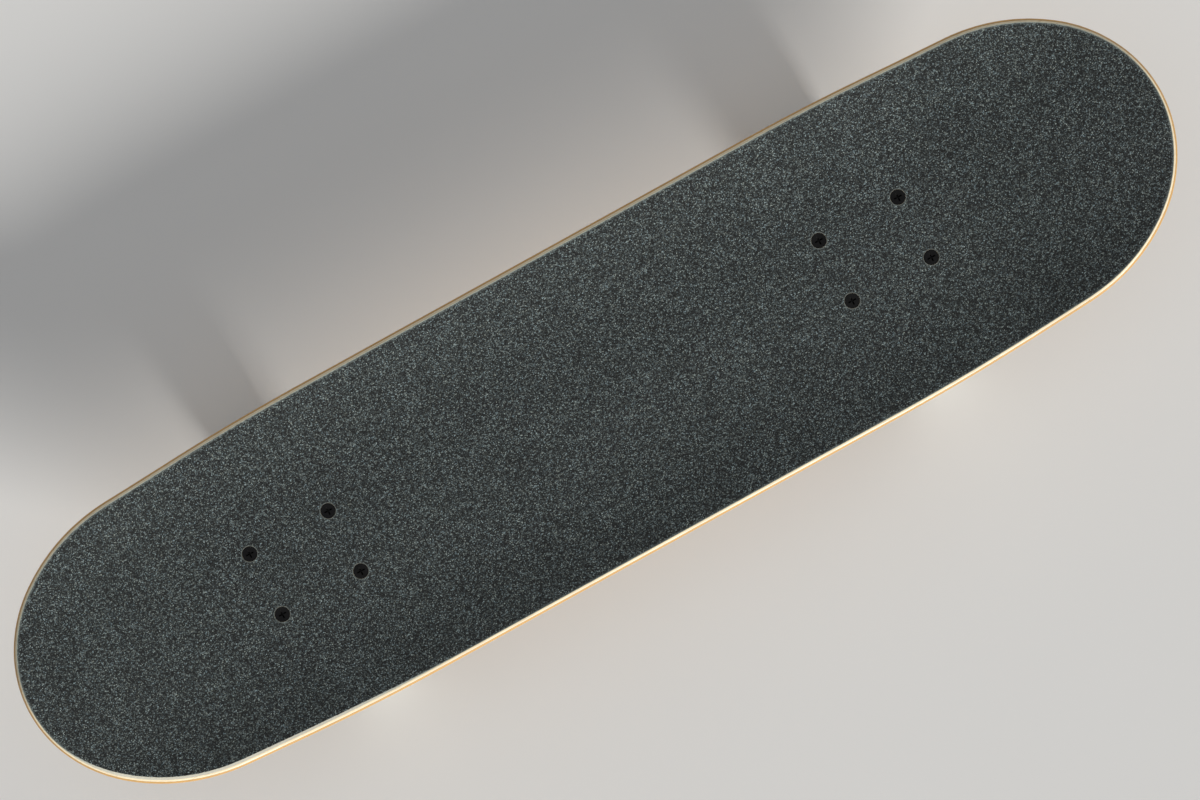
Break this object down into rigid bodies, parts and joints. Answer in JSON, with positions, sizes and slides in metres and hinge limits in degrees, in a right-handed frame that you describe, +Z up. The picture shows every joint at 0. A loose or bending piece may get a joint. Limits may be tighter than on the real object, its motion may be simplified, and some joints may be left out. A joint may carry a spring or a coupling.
{
  "type": "skateboard",
  "caption": "Complete street skateboard: pressed maple deck with grip sheet and raised ends, leaning trucks on rubber bushings, and urethane wheels turning on ball bearings.",
  "frame": {"origin": "on the ground, under the middle of the deck's length and width", "axes": "+X to the nose, +Y to the board's left side, +Z up"},
  "size_m": [0.7524, 0.1906, 0.1336],
  "materials": {
    "maple": "satin lacquer, seven plies",
    "grip": "coarse abrasive sheet",
    "black_steel": "black oxide",
    "nut_steel": "zinc plated",
    "baseplate_alloy": "tumbled casting",
    "hanger_alloy": "polished casting",
    "cup_urethane": "matt urethane",
    "bushing_urethane": "translucent urethane",
    "kingpin_steel": "plain steel",
    "washer_steel": "nickel plated",
    "axle_steel": "ground steel",
    "wheel_urethane": "cast urethane",
    "bearing_steel": "polished",
    "cage_nylon": "moulded nylon",
    "shield_steel": "pressed steel"
  },
  "bodies": {
    "board": {"deck": "maple", "grip_tape": "grip", "front_deck_bolts": "black_steel", "front_lock_nuts": "nut_steel", "front_baseplate": "baseplate_alloy", "front_pivot_cup": "cup_urethane", "front_kingpin": "kingpin_steel", "front_kingpin_nut": "nut_steel", "front_boardside_bushing": "bushing_urethane", "front_roadside_bushing": "bushing_urethane", "front_boardside_washer": "washer_steel", "front_roadside_washer": "washer_steel", "rear_deck_bolts": "black_steel", "rear_lock_nuts": "nut_steel", "rear_baseplate": "baseplate_alloy", "rear_pivot_cup": "cup_urethane", "rear_kingpin": "kingpin_steel", "rear_kingpin_nut": "nut_steel", "rear_boardside_bushing": "bushing_urethane", "rear_roadside_bushing": "bushing_urethane", "rear_boardside_washer": "washer_steel", "rear_roadside_washer": "washer_steel"},
    "front_truck_axle": {"front_hanger": "hanger_alloy", "front_axle": "axle_steel", "front_axle_nuts": "nut_steel", "front_speed_washers": "washer_steel", "front_left_bearing_inner_rings": "bearing_steel", "front_left_bearing_spacer": "axle_steel", "front_right_bearing_inner_rings": "bearing_steel", "front_right_bearing_spacer": "axle_steel"},
    "front_left_wheel_group": {"front_left_wheel": "wheel_urethane", "front_left_bearing_outer_rings": "bearing_steel", "front_left_bearing_shields": "shield_steel"},
    "front_left_cage_group": {"front_left_bearing_cages": "cage_nylon", "front_left_bearing_balls": "bearing_steel"},
    "front_right_wheel_group": {"front_right_wheel": "wheel_urethane", "front_right_bearing_outer_rings": "bearing_steel", "front_right_bearing_shields": "shield_steel"},
    "front_right_cage_group": {"front_right_bearing_cages": "cage_nylon", "front_right_bearing_balls": "bearing_steel"},
    "rear_truck_axle": {"rear_hanger": "hanger_alloy", "rear_axle": "axle_steel", "rear_axle_nuts": "nut_steel", "rear_speed_washers": "washer_steel", "rear_left_bearing_inner_rings": "bearing_steel", "rear_left_bearing_spacer": "axle_steel", "rear_right_bearing_inner_rings": "bearing_steel", "rear_right_bearing_spacer": "axle_steel"},
    "rear_left_wheel_group": {"rear_left_wheel": "wheel_urethane", "rear_left_bearing_outer_rings": "bearing_steel", "rear_left_bearing_shields": "shield_steel"},
    "rear_left_cage_group": {"rear_left_bearing_cages": "cage_nylon", "rear_left_bearing_balls": "bearing_steel"},
    "rear_right_wheel_group": {"rear_right_wheel": "wheel_urethane", "rear_right_bearing_outer_rings": "bearing_steel", "rear_right_bearing_shields": "shield_steel"},
    "rear_right_cage_group": {"rear_right_bearing_cages": "cage_nylon", "rear_right_bearing_balls": "bearing_steel"}
  },
  "joints": [
    {"name": "front_lean", "type": "hinge", "parent": "board", "child": "front_truck_axle", "pos_m": [0.22026, 0, 0.066], "axis": [0.9111, 0, 0.4122], "range_deg": [-18, 18], "stiffness_Nm_per_rad": 40, "deforming": ["front_boardside_bushing", "front_roadside_bushing"]},
    {"name": "front_left_wheel_spin", "type": "hinge", "parent": "front_truck_axle", "child": "front_left_wheel_group", "pos_m": [0.19826, 0, 0.026], "axis": [0, 1, 0], "continuous": true},
    {"name": "front_left_cage_spin", "type": "hinge", "parent": "front_truck_axle", "child": "front_left_cage_group", "pos_m": [0.19826, 0, 0.026], "axis": [0, 1, 0], "continuous": true},
    {"name": "front_right_wheel_spin", "type": "hinge", "parent": "front_truck_axle", "child": "front_right_wheel_group", "pos_m": [0.19826, 0, 0.026], "axis": [0, 1, 0], "continuous": true},
    {"name": "front_right_cage_spin", "type": "hinge", "parent": "front_truck_axle", "child": "front_right_cage_group", "pos_m": [0.19826, 0, 0.026], "axis": [0, 1, 0], "continuous": true},
    {"name": "rear_lean", "type": "hinge", "parent": "board", "child": "rear_truck_axle", "pos_m": [-0.22626, 0, 0.066], "axis": [-0.9111, 0, 0.4122], "range_deg": [-18, 18], "stiffness_Nm_per_rad": 40, "deforming": ["rear_boardside_bushing", "rear_roadside_bushing"]},
    {"name": "rear_left_wheel_spin", "type": "hinge", "parent": "rear_truck_axle", "child": "rear_left_wheel_group", "pos_m": [-0.20426, 0, 0.026], "axis": [0, 1, 0], "continuous": true},
    {"name": "rear_left_cage_spin", "type": "hinge", "parent": "rear_truck_axle", "child": "rear_left_cage_group", "pos_m": [-0.20426, 0, 0.026], "axis": [0, 1, 0], "continuous": true},
    {"name": "rear_right_wheel_spin", "type": "hinge", "parent": "rear_truck_axle", "child": "rear_right_wheel_group", "pos_m": [-0.20426, 0, 0.026], "axis": [0, 1, 0], "continuous": true},
    {"name": "rear_right_cage_spin", "type": "hinge", "parent": "rear_truck_axle", "child": "rear_right_cage_group", "pos_m": [-0.20426, 0, 0.026], "axis": [0, 1, 0], "continuous": true}
  ],
  "couplings": [
    {"joint": "front_left_cage_spin", "follows": "front_left_wheel_spin", "ratio": 0.63227},
    {"joint": "front_right_cage_spin", "follows": "front_right_wheel_spin", "ratio": 0.63227},
    {"joint": "rear_left_cage_spin", "follows": "rear_left_wheel_spin", "ratio": 0.63227},
    {"joint": "rear_right_cage_spin", "follows": "rear_right_wheel_spin", "ratio": 0.63227}
  ]
}
